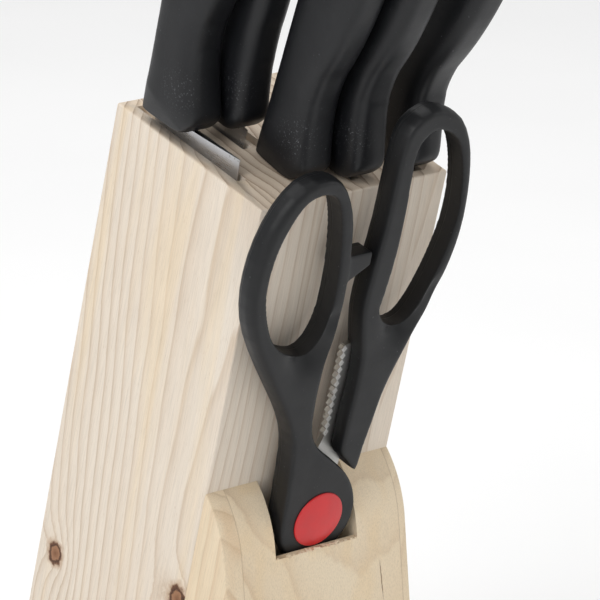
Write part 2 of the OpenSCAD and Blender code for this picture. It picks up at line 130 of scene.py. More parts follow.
class Finish:
    """Short words for building a material's nodes."""

    def __init__(self, name, colour, roughness, **sockets):
        self.material = bpy.data.materials.new(name)
        self.material.use_nodes = True
        self.tree = self.material.node_tree
        self.shader = self.tree.nodes["Principled BSDF"]
        self.shader.inputs["Base Color"].default_value = colour
        self.shader.inputs["Roughness"].default_value = roughness
        for socket, value in sockets.items():
            self.shader.inputs[socket.replace("_", " ")].default_value = value

    def node(self, kind, out=0, settings=None, **inputs):
        return tree_node(self.tree, kind, out, settings, **inputs)

    def sum(self, operation, a, b=0.0, c=0.0):
        return self.node("ShaderNodeMath", settings={"operation": operation}, i0=a, i1=b, i2=c)

    def place(self, at, scale=(1, 1, 1), move=(0, 0, 0), turn=(0, 0, 0)):
        return self.node("ShaderNodeMapping", Vector=at, Scale=scale, Location=move, Rotation=turn)

    def noise(self, at, scale, detail=3.0, roughness=0.55):
        return self.node("ShaderNodeTexNoise", Vector=at, Scale=scale, Detail=detail,
                         Roughness=roughness)

    def ramp(self, value, *stops, smooth=False):
        made = self.tree.nodes.new("ShaderNodeValToRGB")
        made.color_ramp.interpolation = "EASE" if smooth else "LINEAR"
        while len(made.color_ramp.elements) < len(stops):
            made.color_ramp.elements.new(0.5)
        for element, (where, colour) in zip(made.color_ramp.elements, stops):
            element.position = where
            element.color = colour if isinstance(colour, tuple) else (colour,) * 3 + (1,)
        self.tree.links.new(value, made.inputs[0])
        return made.outputs[0]

    def mix(self, factor, a, b, way="MIX"):
        made = self.tree.nodes.new("ShaderNodeMix")
        made.data_type = "RGBA"
        made.blend_type = way
        for socket, value in ((made.inputs[0], factor), (made.inputs[6], a), (made.inputs[7], b)):
            if isinstance(value, bpy.types.NodeSocket):
                self.tree.links.new(value, socket)
            else:
                socket.default_value = value
        return made.outputs[2]

    def object_at(self):
        return self.node("ShaderNodeTexCoord", out=3)

    def wire(self, socket, value):
        self.tree.links.new(value, self.shader.inputs[socket])

    def bump(self, height, depth, strength=1.0):
        self.wire("Normal", self.node("ShaderNodeBump", Strength=strength, Distance=depth,
                                      Height=height))


def wood(name, pale, deep, line, gap, heart, drift, knots=(), line_depth=0.8, warm=None,
         stain=None, glue=()):
    """Sawn wood in block millimetres: year rings round a heart that drifts up the
    board, so that each face shows its own straight or arched figure."""
    w = Finish(name, pale, 0.62, Specular_IOR_Level=0.28)
    turn = Matrix.Rotation(-lean, 3, "X")
    at = w.place(w.object_at(), scale=(1000, 1000, 1000), move=-(turn @ front_edge) * 1000,
                 turn=(-lean, 0, 0))
    split = w.tree.nodes.new("ShaderNodeSeparateXYZ")
    w.tree.links.new(at, split.inputs[0])
    x, v, up = split.outputs

    across = w.sum("SUBTRACT", w.sum("SUBTRACT", x, heart[0]), w.sum("MULTIPLY", up, drift[0]))
    back = w.sum("SUBTRACT", w.sum("SUBTRACT", v, heart[1]), w.sum("MULTIPLY", up, drift[1]))
    radius = w.sum("SQRT", w.sum("ADD", w.sum("MULTIPLY", across, across),
                                 w.sum("MULTIPLY", back, back)))
    wander = w.noise(w.place(at, scale=(0.03, 0.03, 0.009)), 1.0, 2.0)
    radius = w.sum("ADD", radius, w.sum("MULTIPLY", w.sum("SUBTRACT", wander, 0.5), gap * 1.7))
    waver = w.noise(w.place(at, scale=(0.5, 0.5, 0.03)), 1.0, 2.0)
    radius = w.sum("ADD", radius, w.sum("MULTIPLY", w.sum("SUBTRACT", waver, 0.5), gap * 0.16))

    knot_marks = []
    for knot_v, knot_up, knot_r in knots:
        dv = w.sum("SUBTRACT", v, knot_v)
        dl = w.sum("MULTIPLY", w.sum("SUBTRACT", up, knot_up), 0.8)
        ring = w.sum("SQRT", w.sum("ADD", w.sum("MULTIPLY", dv, dv), w.sum("MULTIPLY", dl, dl)))
        ragged = w.noise(w.place(at, scale=(0.1, 0.45, 0.45)), 1.0, 3.0)
        ring = w.sum("ADD", ring, w.sum("MULTIPLY", w.sum("SUBTRACT", ragged, 0.5),
                                        knot_r * 0.9))
        near = w.sum("DIVIDE", ring, knot_r * 4.0)
        swell = w.sum("POWER", 2.718, w.sum("MULTIPLY", w.sum("MULTIPLY", near, near), -2.0))
        radius = w.sum("ADD", radius, w.sum("MULTIPLY", swell, gap * 1.5))
        knot_marks.append(w.sum("DIVIDE", ring, knot_r * 2.0))

    year = w.sum("FRACT", w.sum("DIVIDE", radius, gap))
    rings = w.ramp(year, (0.0, 0.0), (0.45, 0.06), (0.78, 0.42), (0.93, 1.0), (1.0, 0.0))
    uneven = w.noise(w.place(at, scale=(0.02, 0.02, 0.006), move=(3, 9, 1)), 1.0, 1.0)
    figure = w.sum("MULTIPLY", rings, w.sum("MULTIPLY", uneven, 1.3))

    fibre = w.noise(w.place(at, scale=(3.2, 3.2, 0.07)), 1.0, 4.0, 0.65)
    flecks = w.noise(w.place(at, scale=(4.5, 4.5, 0.32), move=(7, 2, 5)), 1.0, 1.0)
    patches = w.noise(w.place(at, scale=(0.035, 0.035, 0.009), move=(1, 4, 8)), 1.0, 2.0)

    geometry = w.tree.nodes.new("ShaderNodeNewGeometry")
    cut = w.tree.nodes.new("ShaderNodeVectorMath")
    cut.operation = "DOT_PRODUCT"
    w.tree.links.new(geometry.outputs["Normal"], cut.inputs[0])
    cut.inputs[1].default_value = (0, -math.sin(lean), math.cos(lean))
    end_grain = w.sum("POWER", w.sum("ABSOLUTE", cut.outputs["Value"]), 6.0)

    colour = w.mix(patches, pale, deep)
    colour = w.mix(w.sum("MULTIPLY", figure, line_depth), colour, line)
    if warm:
        band = w.noise(w.place(at, scale=(0.11, 0.11, 0.008), move=(5, 5, 2)), 1.0, 1.0)
        colour = w.mix(w.ramp(band, (0.5, 0.0), (0.68, 0.4)), colour, warm)
    colour = w.mix(0.85, colour, w.ramp(fibre, (0.25, 0.80), (0.55, 1.0), (0.8, 1.06)),
                   "MULTIPLY")
    colour = w.mix(w.ramp(flecks, (0.66, 0.0), (0.74, 0.32)), colour, line)
    if stain:
        where_v, where_l, long, wide, side = stain
        sx = w.sum("DIVIDE", w.sum("SUBTRACT", w.sum("MULTIPLY_ADD", up, 0.05, x),
                                   where_v), wide)
        sl = w.sum("DIVIDE", w.sum("SUBTRACT", up, where_l), long)
        crack = w.sum("ADD", w.sum("MULTIPLY", sx, sx), w.sum("MULTIPLY", sl, sl))
        crack = w.sum("ADD", crack, w.sum("MULTIPLY", w.sum("SUBTRACT", fibre, 0.5), 1.6))
        colour = w.mix(w.ramp(crack, (0.3, 0.8), (1.0, 0.0)), colour, side)
    for seam_x in glue:
        off = w.sum("ABSOLUTE", w.sum("SUBTRACT", x, seam_x * 1000))
        colour = w.mix(w.ramp(off, (0.08, 0.30), (0.26, 0.0)), colour, srgb(138, 104, 72))
    for mark in knot_marks:
        heartwood = w.ramp(mark, (0.0, srgb(128, 88, 62)), (0.34, srgb(160, 118, 88)),
                           (0.44, srgb(72, 46, 34)), (0.54, srgb(110, 76, 56)),
                           (0.66, srgb(190, 160, 132)))
        colour = w.mix(w.ramp(mark, (0.56, 1.0), (0.86, 0.0)), colour, heartwood)
    end_colour = w.mix(1.0, colour, srgb(244, 239, 233), "MULTIPLY")
    end_colour = w.mix(w.sum("MULTIPLY", rings, 0.55), end_colour, srgb(132, 112, 96))
    colour = w.mix(end_grain, colour, end_colour)
    w.wire("Base Color", colour)
    w.wire("Roughness", w.ramp(fibre, (0.3, 0.72), (0.8, 0.56)))
    height = w.sum("ADD", w.sum("MULTIPLY", fibre, 0.7), w.sum("MULTIPLY", rings, 0.25))
    w.bump(height, 0.00016, 0.75)
    return w.material


pine_pale = srgb(235, 225, 211)
pine_deep = srgb(227, 212, 194)
pine_line = srgb(188, 160, 130)
pine_warm = srgb(236, 214, 178)

boards = {
    "left_cheek_board": dict(gap=3.3, heart=(24, 6), drift=(0.05, 0.14), warm=pine_warm,
                             knots=((64.5, -162, 2.9), (3.5, -142.5, 3.4))),
    "chef_side_board": dict(gap=4.2, heart=(150, 26), drift=(0.01, -0.02)),
    "thin_middle_board": dict(gap=4.0, heart=(-190, 60), drift=(-0.02, 0.03)),
    "centre_board": dict(gap=4.3, heart=(170, 10), drift=(0.02, 0.02)),
    "wide_right_board": dict(gap=4.4, heart=(-160, 45), drift=(-0.01, 0.02)),
    "right_cheek_board": dict(gap=4.8, heart=(-14, 60), drift=(-0.04, -0.11),
                              knots=((30.0, -88, 2.4),)),
}
for number, (node, grain) in enumerate(boards.items()):
    build = merged(node)
    ease(build, outside_block, board_ease)
    board = piece_from(node.replace("_board", "_plank"), build, "block", "pine", node)
    smooth_curves(board)
    board.data.materials.append(
        wood(f"pine {number + 1}", pine_pale, pine_deep, pine_line, **grain))

# ----------------------------------------------------------------------- the foot
# Three staves of a yellower hardwood glued edge to edge, their top planed round
# and a notch sawn for the scissors, then glued and dowelled to the boards.

foot_ease = 0.0007
foot_drop, foot_out, foot_slope, nose_radius = 0.101, 0.0156, math.radians(5.5), 0.038
notch_width, notch_rim = 0.0336, -0.1214
pocket_wall, pocket_floor = -0.0137, -0.19164

foot_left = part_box("foot_left_stave")[0].x
left_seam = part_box("foot_left_stave")[1].x
right_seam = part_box("foot_right_stave")[0].x
foot_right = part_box("foot_right_stave")[1].x


def side_at(v, up):
    at = in_block @ Vector((0, v, up))
    return Vector((at.y, at.z))


rim = side_at(-foot_out, notch_rim)
base = Vector((rim.x - rim.y * math.tan(foot_slope), 0))
outward = Vector((-math.cos(foot_slope), math.sin(foot_slope)))
along = Vector((math.sin(foot_slope), math.cos(foot_slope)))
seam = side_at(0, -foot_drop)
depth_at_seam = (seam - base) @ -outward
run = math.sqrt(nose_radius ** 2 - (nose_radius - depth_at_seam) ** 2)
nose_middle = base + along * ((seam - base) @ along - run) - outward * nose_radius
start = math.atan2(outward.y, outward.x)
finish = math.atan2(seam.y - nose_middle.y, seam.x - nose_middle.x)
foot_side = [base] + [
    nose_middle + nose_radius * Vector((math.cos(a), math.sin(a)))
    for a in (start + (finish - start) * i / 30 for i in range(31))]
foot_side.append(side_at(0, -(front_edge.z / math.cos(lean))))


def stave_block(x0, x1):
    """The foot's side outline as a solid between two planes across."""
    build = bmesh.new()
    sides = [[build.verts.new((x, q.x, q.y)) for q in foot_side] for x in (x0, x1)]
    count = len(foot_side)
    build.faces.new(sides[0])
    build.faces.new(reversed(sides[1]))
    for i in range(count):
        n = (i + 1) % count
        build.faces.new((sides[0][i], sides[1][i], sides[1][n], sides[0][n]))
    bmesh.ops.recalc_face_normals(build, faces=build.faces)
    return build


def cut_out(build, low, high):
    """Cuts a box, given in the block's own directions, out of a solid."""
    solid = bpy.data.objects.new("solid", bpy.data.meshes.new("solid"))
    build.to_mesh(solid.data)
    build.free()
    tool = bpy.data.objects.new("tool", bpy.data.meshes.new("tool"))
    box = bmesh.new()
    for vert in bmesh.ops.create_cube(box, size=1.0)["verts"]:
        vert.co = in_block @ Vector(((low[i] + high[i]) / 2 + vert.co[i] * (high[i] - low[i])
                                     for i in range(3)))
    box.to_mesh(tool.data)
    box.free()
    for thing in (solid, tool):
        bpy.context.scene.collection.objects.link(thing)
    cut = solid.modifiers.new("cut", "BOOLEAN")
    cut.operation, cut.solver, cut.object = "DIFFERENCE", "EXACT", tool
    shown = solid.evaluated_get(bpy.context.evaluated_depsgraph_get())
    made = bmesh.new()
    made.from_mesh(shown.to_mesh())
    for thing in (solid, tool):
        bpy.data.objects.remove(thing)
    return made


def outside_foot(face):
    """Whether a face lies on the outside of the foot and away from its cuts."""
    at = face.calc_center_median()
    if abs(face.normal.x) > 0.9:
        return min(abs(at.x - foot_left), abs(at.x - foot_right)) < 1e-4
    inner_floor = min(abs((to_block @ at).z - level) for level in (notch_rim, pocket_floor))
    return inner_floor > 1e-4 and (to_block.to_3x3() @ face.normal).y < 0.5


foot_pale = srgb(236, 222, 197)
foot_deep = srgb(228, 206, 174)
foot_line = srgb(190, 154, 116)
staves = {
    "foot_left_stave": (foot_left, left_seam, dict(
        gap=5.5, heart=(-60, -80), drift=(0.02, 0.03), warm=srgb(216, 182, 142))),
    "foot_middle_stave": (left_seam, right_seam, dict(
        gap=9.0, heart=(30, 60), drift=(0.04, 0.05), warm=srgb(232, 206, 166),
        stain=(19.0, -136, 7.0, 0.28, srgb(120, 84, 58)))),
    "foot_right_stave": (right_seam, foot_right, dict(
        gap=6.0, heart=(90, -60), drift=(0.01, 0.04))),
}
for node, (x0, x1, grain) in staves.items():
    build = stave_block(x0, x1)
    if node == "foot_middle_stave":
        half = notch_width / 2
        build = cut_out(build, (-half, -0.08, notch_rim), (half, 0.02, 0.0))
        build = cut_out(build, (-half, pocket_wall, pocket_floor), (half, 0.02, 0.0))
    ease(build, outside_foot, foot_ease)
    stave = piece_from(node + "_wood", build, "block", "foot_wood", node)
    smooth_curves(stave)
    stave.data.materials.clear()
    stave.data.materials.append(wood(node.replace("_", " "), foot_pale, foot_deep, foot_line,
                                     line_depth=0.5, glue=(left_seam, right_seam), **grain))
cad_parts["foot_dowels"].data.materials.clear()
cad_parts["foot_dowels"].data.materials.append(
    wood("dowel beech", srgb(214, 186, 148), srgb(196, 162, 122), srgb(150, 112, 78),
         gap=1.6, heart=(0, 20), drift=(0, 0)))

# ------------------------------------------------------------------------- blades
# Stainless blades stamped from sheet, ground to a flat V edge and brushed along
# their length. Each ends in a tang that the handle is moulded round.

blade_half = 0.001
tang_depth = (0.0046, 0.0136)
tang_reach = 0.030


def brushed(name, tone, shine=0.26):
    """Brushed stainless steel, with fine lines, faint clouds and a few dull spots."""
    m = Finish(name, tone, shine, Metallic=1.0, Anisotropic=0.35)
    at = m.place(m.object_at(), turn=(-lean, 0, 0))
    lines = m.noise(m.place(at, scale=(900, 90, 2600)), 1.0, 3.0, 0.7)
    cloud = m.noise(at, 55.0, 3.0)
    spots = m.noise(m.place(at, move=(2, 5, 1)), 950.0, 1.0)
    m.wire("Base Color", m.mix(m.ramp(spots, (0.68, 0.0), (0.75, 0.5)),
                               m.mix(m.ramp(cloud, (0.3, 0.2), (0.75, 0.8)), tone,
                                     tuple(0.8 * c for c in tone[:3]) + (1,)),
                               srgb(120, 116, 112)))
    m.wire("Roughness", m.ramp(m.mix(0.5, lines, cloud), (0.3, shine - 0.06),
                               (0.7, shine + 0.16)))
    m.bump(lines, 0.00001, 0.5)
    return m.material


blade_steel = brushed("brushed blade steel", srgb(204, 205, 208))

knives = {
    "chef": dict(v=0.0622, lift=0.0036, tilt=-3, length=0.190, height=0.042, bend=2.6,
                 drop=0.005, handle=0.124, guard=0.0238, waist=0.0195, belly=0.030, deep=1.04),
    "paring": dict(v=0.0537, lift=0.00647, tilt=3, length=0.090, height=0.018, bend=2.0,
                   drop=0.003, handle=0.118, guard=0.020, waist=0.0175, belly=0.020, deep=1.0),
    "bread": dict(v=0.0299, lift=0.0010, tilt=3, length=0.190, height=0.021, bend=7.0,
                  drop=0.007, handle=0.124, guard=0.022, waist=0.019, belly=0.030, deep=1.0),
    "slicing": dict(v=0.0227, lift=0.00255, tilt=3, length=0.190, height=0.015, bend=4.0,
                    drop=0.004, handle=0.124, guard=0.022, waist=0.0177, belly=0.030, deep=1.0),
    "utility": dict(v=0.0250, lift=0.00262, tilt=8, length=0.130, height=0.020, bend=2.2,
                    drop=0.003, handle=0.124, guard=0.0235, waist=0.0177, belly=0.030,
                    deep=1.0),
}
for name, k in knives.items():
    lo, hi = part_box(name + "_blade")
    k["stand"] = in_block @ Vector(((lo.x + hi.x) / 2, k["v"], k["lift"]))
    k["lean"] = lean + math.radians(k["tilt"])
    k["at"] = Matrix.Translation(k["stand"]) @ Matrix.Rotation(k["lean"], 4, "X")


def ground_blade(k, serrated):
    """Blade as stations from the heel to the tip: two spine corners, two
    shoulders where the grinding starts, and the thin edge."""
    build = bmesh.new()
    count = 200 if serrated else 72
    stations = []
    for i in range(count + 1):
        t = i / count
        z = -k["length"] * t
        edge = -k["height"] + (k["height"] - k["drop"]) * t ** k["bend"]
        fall = max(0.0, (t - 0.62) / 0.38)
        spine = -0.0012 - (k["drop"] - 0.0012) * fall ** 1.6
        if serrated and 0.03 < t < 0.97:
            edge += 0.0011 * abs(math.sin(math.pi * z / 0.0062)) ** 1.5
        edge = min(edge, spine - 0.0002)
        half = blade_half * (1 - 0.35 * t)
        shoulder = spine + (edge - spine) * 0.55
        ring = [(half * 0.85, spine), (half, spine - 0.0003), (half, shoulder),
                (0.00015, edge), (-0.00015, edge), (-half, shoulder), (-half, spine - 0.0003),
                (-half * 0.85, spine)]
        stations.append([build.verts.new(k["at"] @ Vector((x, y, z))) for x, y in ring])
    for a, b in zip(stations, stations[1:]):
        for j in range(8):
            n = (j + 1) % 8
            build.faces.new((a[j], a[n], b[n], b[j]))
    build.faces.new(stations[0])
    build.faces.new(stations[-1])
    tang = bmesh.ops.create_cube(build, size=1.0)["verts"]
    middle = -(tang_depth[0] + tang_depth[1]) / 2
    for vert in tang:
        vert.co = k["at"] @ Vector((vert.co.x * blade_half * 1.9,
                                    middle + vert.co.y * (tang_depth[1] - tang_depth[0]),
                                    tang_reach / 2 - 0.001 + vert.co.z * tang_reach))
    bmesh.ops.recalc_face_normals(build, faces=build.faces)
    return build


for name, k in knives.items():
    blade = piece_from(name + "_ground_blade", ground_blade(k, name == "bread"),
                     name + "_knife", "blade_steel", name + "_blade")
    smooth_curves(blade, 8)
    blade.data.materials.append(blade_steel)

# ------------------------------------------------------------------ knife handles
# Near-black plastic moulded round the tang in a two-part tool, with a finger
# guard, a waist and a deep belly. One rule makes all five from their own sizes.

handle_mm = 0.001
profile_rows = (
    # height, collar mm, sag mm, guard, waist, belly, thickness, squareness
    (0.000, 1.6, 0.0, 0.80, 0.00, 0.00, 0.96, 0.34),
    (0.016, 1.5, 0.0, 0.90, 0.00, 0.00, 0.98, 0.36),
    (0.048, 1.1, 0.0, 1.00, 0.00, 0.00, 1.00, 0.40),
    (0.100, 0.5, 0.0, 0.90, 0.06, 0.00, 0.99, 0.45),
    (0.170, 0.2, 0.0, 0.46, 0.50, 0.00, 0.97, 0.49),
    (0.225, 0.0, 0.0, 0.12, 0.87, 0.01, 0.96, 0.51),
    (0.300, -0.3, 0.0, 0.00, 0.82, 0.18, 0.96, 0.52),
    (0.400, 0.0, -0.8, 0.00, 0.46, 0.54, 0.98, 0.52),
    (0.520, 0.0, -1.6, 0.00, 0.17, 0.83, 1.00, 0.52),
    (0.650, 0.0, -2.9, 0.00, 0.00, 1.00, 1.00, 0.52),
    (0.780, 0.0, -4.6, 0.00, 0.00, 1.00, 0.98, 0.53),
    (0.880, 0.0, -6.3, 0.00, 0.00, 1.03, 0.97, 0.55),
    (0.950, 0.0, -8.4, 0.00, 0.00, 1.04, 0.92, 0.62),
    (0.985, 0.0, -11.4, 0.00, 0.00, 1.00, 0.80, 0.74),
    (1.000, 0.0, -15.5, 0.00, 0.00, 0.88, 0.56, 0.90),
)

handle_rule = bpy.data.node_groups.new("moulded handle", "GeometryNodeTree")
handle_rule.interface.new_socket("Geometry", in_out="INPUT", socket_type="NodeSocketGeometry")
handle_inputs = {}
for label, kind in (("Length", "Float"), ("Thickness", "Float"), ("Guard", "Float"),
                    ("Waist", "Float"), ("Belly", "Float"), ("Depth", "Float"),
                    ("Stand", "Vector"), ("Lean", "Float"), ("Material", "Material")):
    handle_inputs[label] = handle_rule.interface.new_socket(
        label, in_out="INPUT", socket_type="NodeSocket" + kind).identifier
handle_rule.interface.new_socket("Geometry", in_out="OUTPUT", socket_type="NodeSocketGeometry")
given = handle_rule.nodes.new("NodeGroupInput").outputs
given_back = handle_rule.nodes.new("NodeGroupOutput").inputs


def sums(operation, a, b=0.0, c=0.0):
    return tree_node(handle_rule, "ShaderNodeMath", settings={"operation": operation},
                     i0=a, i1=b, i2=c)


def profile(height, column, low, high):
    """Float curve over the handle's height through one column of the rows."""
    made = handle_rule.nodes.new("ShaderNodeFloatCurve")
    curve = made.mapping.curves[0]
    points = []
    for i in range(len(profile_rows) - 1):
        near = [profile_rows[max(0, min(len(profile_rows) - 1, i + j))] for j in (-1, 0, 1, 2)]
        for t in (0.0, 0.25, 0.5, 0.75):
            up, value = (0.5 * (2 * b + (c - a) * t + (2 * a - 5 * b + 4 * c - d) * t ** 2
                                + (3 * b - a - 3 * c + d) * t ** 3)
                         for a, b, c, d in ([row[k] for row in near] for k in (0, column)))
            points.append((up, (value - low) / (high - low)))
    points.append((1.0, (profile_rows[-1][column] - low) / (high - low)))
    while len(curve.points) < len(points):
        curve.points.new(0.5, 0.5)
    for point, place in zip(curve.points, points):
        point.location = place
        point.handle_type = "VECTOR"
    made.mapping.update()
    handle_rule.links.new(height, made.inputs["Value"])
    return sums("MULTIPLY_ADD", made.outputs[0], high - low, low)


tube = tree_node(handle_rule, "GeometryNodeMeshCylinder",
                 settings={"fill_type": "TRIANGLE_FAN"},
                 Vertices=72, Side_Segments=150, Fill_Segments=6, Radius=1.0, Depth=2.0)
spot = handle_rule.nodes.new("ShaderNodeSeparateXYZ")
handle_rule.links.new(tree_node(handle_rule, "GeometryNodeInputPosition"), spot.inputs[0])
even = sums("MULTIPLY_ADD", spot.outputs[2], 0.5, 0.5)
height = sums("SUBTRACT", even, sums("MULTIPLY", sums("SINE", sums(
    "MULTIPLY", even, 2 * math.pi)), 0.86 / (2 * math.pi)))
rise = sums("MULTIPLY", height, given["Length"])
bottom_round, top_round = 0.0006, 0.0042
low_part = sums("MAXIMUM", sums("DIVIDE", sums("SUBTRACT", bottom_round, rise), bottom_round), 0.0)
top_part = sums("MAXIMUM", sums("DIVIDE", sums("SUBTRACT", rise, sums(
    "SUBTRACT", given["Length"], top_round)), top_round), 0.0)


def inset(part, radius):
    arc = sums("SQRT", sums("MAXIMUM", sums("SUBTRACT", 1.0, sums("MULTIPLY", part, part)), 0.0))
    return sums("MULTIPLY", sums("SUBTRACT", 1.0, arc), radius)


shrink = sums("ADD", inset(low_part, bottom_round), inset(top_part, top_round * 0.7))
sag_scale = sums("DIVIDE", given["Belly"], 0.030)
back_line = sums("MULTIPLY", sums("ADD", sums("MULTIPLY", profile(height, 1, -1.0, 2.0),
                                              handle_mm),
                                  sums("MULTIPLY", sums("MULTIPLY", profile(height, 2, -16.0, 0.0),
                                                        sag_scale), handle_mm)), given["Depth"])
front_line = sums("MULTIPLY", sums("ADD", sums("ADD",
                  sums("MULTIPLY", profile(height, 3, 0.0, 1.1), given["Guard"]),
                  sums("MULTIPLY", profile(height, 4, 0.0, 1.1), given["Waist"])),
                  sums("MULTIPLY", profile(height, 5, 0.0, 1.1), given["Belly"])),
                  sums("MULTIPLY", given["Depth"], -1.0))
middle_line = sums("MULTIPLY", sums("ADD", back_line, front_line), 0.5)
half_deep = sums("SUBTRACT", sums("MULTIPLY", sums("SUBTRACT", back_line, front_line), 0.5),
                 shrink)
half_wide = sums("SUBTRACT", sums("MULTIPLY", sums("MULTIPLY", profile(height, 6, 0.0, 1.0),
                                                   given["Thickness"]), 0.5), shrink)
square = profile(height, 7, 0.0, 1.0)
facet_high, facet_slope = 0.0100, 0.12


def flattened(value, power):
    return sums("MULTIPLY", sums("SIGN", value), sums("POWER", sums("ABSOLUTE", value), power))


deep_at = sums("ADD", middle_line, sums("MULTIPLY", flattened(
    spot.outputs[1], sums("ADD", square, 0.06)), half_deep))
facet_line = sums("MULTIPLY", sums("ADD", sums("DIVIDE", deep_at, given["Guard"]), 1.0),
                  facet_high)
facet = sums("MULTIPLY", sums("MAXIMUM", sums("SUBTRACT", facet_line, rise), 0.0), facet_slope)
wide_at = sums("MULTIPLY", flattened(spot.outputs[0], square),
               sums("SUBTRACT", half_wide, facet))
skin_at = tree_node(handle_rule, "ShaderNodeCombineXYZ", X=wide_at, Y=deep_at, Z=rise)
skin = tree_node(handle_rule, "GeometryNodeSetPosition", Geometry=tube, Position=skin_at)
skin = tree_node(handle_rule, "GeometryNodeSetShadeSmooth", Geometry=skin)
skin = tree_node(handle_rule, "GeometryNodeTransform", Geometry=skin,
                 Translation=given["Stand"],
                 Rotation=tree_node(handle_rule, "ShaderNodeCombineXYZ", X=given["Lean"]))
skin = tree_node(handle_rule, "GeometryNodeRealizeInstances", Geometry=skin)
skin = tree_node(handle_rule, "GeometryNodeSetMaterial", Geometry=skin,
                 Material=given["Material"])
handle_rule.links.new(skin, given_back[0])


def grown(name, tree, values, body, slot_name, *nodes):
    """Runs a rule with its values set and keeps the result as a plain mesh piece."""
    carrier = bpy.data.objects.new(name + "_rule", bpy.data.meshes.new(name + "_rule"))
    bpy.context.scene.collection.objects.link(carrier)
    rule = carrier.modifiers.new("rule", "NODES")
    rule.node_group = tree
    for key, value in values.items():
        rule[key] = value
    shown = carrier.evaluated_get(bpy.context.evaluated_depsgraph_get())
    mesh = bpy.data.meshes.new_from_object(shown)
    bpy.data.objects.remove(carrier)
    build = bmesh.new()
    build.from_mesh(mesh)
    bmesh.ops.remove_doubles(build, verts=build.verts, dist=1e-7)
    bmesh.ops.recalc_face_normals(build, faces=build.faces)
    piece = piece_from(name, build, body, slot_name, *nodes)
    for material in mesh.materials:
        piece.data.materials.append(material)
    for face in piece.data.polygons:
        face.use_smooth = True
    piece.data.set_sharp_from_angle(angle=math.radians(48))
    return piece


def moulded_black(name, tone, shine, dust_at=None, seed=0.0, parting=False):
    """Spark-textured plastic, a little bluish, with fine dust caught in the grain."""
    m = Finish(name, tone, shine, Specular_IOR_Level=0.38)
    at = m.object_at()
    sparks = m.noise(at, 2300.0, 2.0, 0.6)
    cloud = m.noise(m.place(at, move=(seed, 0.3, 0.1)), 38.0, 3.0)
    wear = m.noise(m.place(at, move=(0.2, seed, 0.7)), 160.0, 4.0, 0.7)
    specks = m.noise(m.place(at, move=(seed, seed, seed)), 1150.0, 1.0, 0.4)
    colour = m.mix(m.ramp(cloud, (0.3, 0.0), (0.75, 1.0)), tone,
                   tuple(1.35 * c for c in tone[:3]) + (1,))
    dust = m.sum("MULTIPLY", m.ramp(specks, (0.70, 0.0), (0.77, 0.8)),
                 m.ramp(wear, (0.54, 0.0), (0.66, 0.6)))
    if dust_at:
        lo, hi = dust_at
        middle = (lo + hi) / 2
        away = m.tree.nodes.new("ShaderNodeVectorMath")
        away.operation = "DISTANCE"
        m.tree.links.new(at, away.inputs[0])
        away.inputs[1].default_value = middle
        close = m.ramp(m.sum("DIVIDE", away.outputs["Value"], (hi - lo).length), (0.0, 1.0),
                       (0.9, 0.0), smooth=True)
        grit = m.noise(m.place(at, move=(0.4, 0.1, 0.2)), 1500.0, 2.0, 0.7)
        dust = m.sum("MAXIMUM", dust, m.sum("MULTIPLY", close, m.ramp(grit, (0.60, 0.0),
                                                                      (0.72, 0.75))))
    colour = m.mix(m.sum("MULTIPLY", dust, 0.55), colour, srgb(150, 150, 156))
    height = m.mix(0.6, sparks, specks)
    if parting:
        turn = Matrix.Rotation(-lean, 3, "X")
        square = m.place(at, move=-(turn @ pivot), turn=(-lean, 0, 0))
        split = m.tree.nodes.new("ShaderNodeSeparateXYZ")
        m.tree.links.new(square, split.inputs[0])
        off = m.sum("DIVIDE", m.sum("ABSOLUTE", split.outputs[1]), 0.00028)
        # The parting line along the mould's mid-plane: a bump dent, plus painted shade that
        # darkens the plastic almost to black inside it.
        groove_and_painted_shade = m.ramp(off, (0.35, 1.0), (1.0, 0.0))
        colour = m.mix(m.sum("MULTIPLY", groove_and_painted_shade, 0.75), colour, srgb(8, 8, 9))
        height = m.sum("SUBTRACT", height, m.sum("MULTIPLY", groove_and_painted_shade, 3.0))
    m.wire("Base Color", colour)
    m.wire("Roughness", m.ramp(m.mix(0.5, cloud, wear), (0.35, shine - 0.05),
                               (0.65, shine + 0.1)))
    m.bump(height, 0.00005, 0.5)
    return m.material


handle_tone = srgb(16, 17, 20)
for order, (name, k) in enumerate(knives.items()):
    lo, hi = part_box(name + "_handle")
    collar_spot = k["at"] @ Vector((-0.006, -k["guard"] * 0.72, 0.014))
    reach = Vector((0.0028, 0.0028, 0.0045))
    plastic = moulded_black(name + " handle plastic", handle_tone, 0.40,
                            dust_at=(collar_spot - reach, collar_spot + reach),
                            seed=1.7 * order)
    grown(name + "_moulded_handle", handle_rule, {
        handle_inputs["Length"]: k["handle"], handle_inputs["Thickness"]: hi.x - lo.x,
        handle_inputs["Guard"]: k["guard"], handle_inputs["Waist"]: k["waist"],
        handle_inputs["Belly"]: k["belly"], handle_inputs["Depth"]: k["deep"],
        handle_inputs["Stand"]: k["stand"], handle_inputs["Lean"]: k["lean"],
        handle_inputs["Material"]: plastic}, name + "_knife", "black_plastic",
        name + "_handle")

# ----------------------------------------------------------------- scissor handles
# Two plastic loops moulded on the steel halves: flat in front, rounded outside,
# with a scooped rest for the finger at the foot of each hole.

pivot = in_block @ Vector((0, -0.0074, -0.1116))
in_shears = Matrix.Translation(pivot) @ Matrix.Rotation(lean, 4, "X")
to_shears = in_shears.inverted()
shell_step = 0.0005
shear_tone = srgb(15, 16, 18)

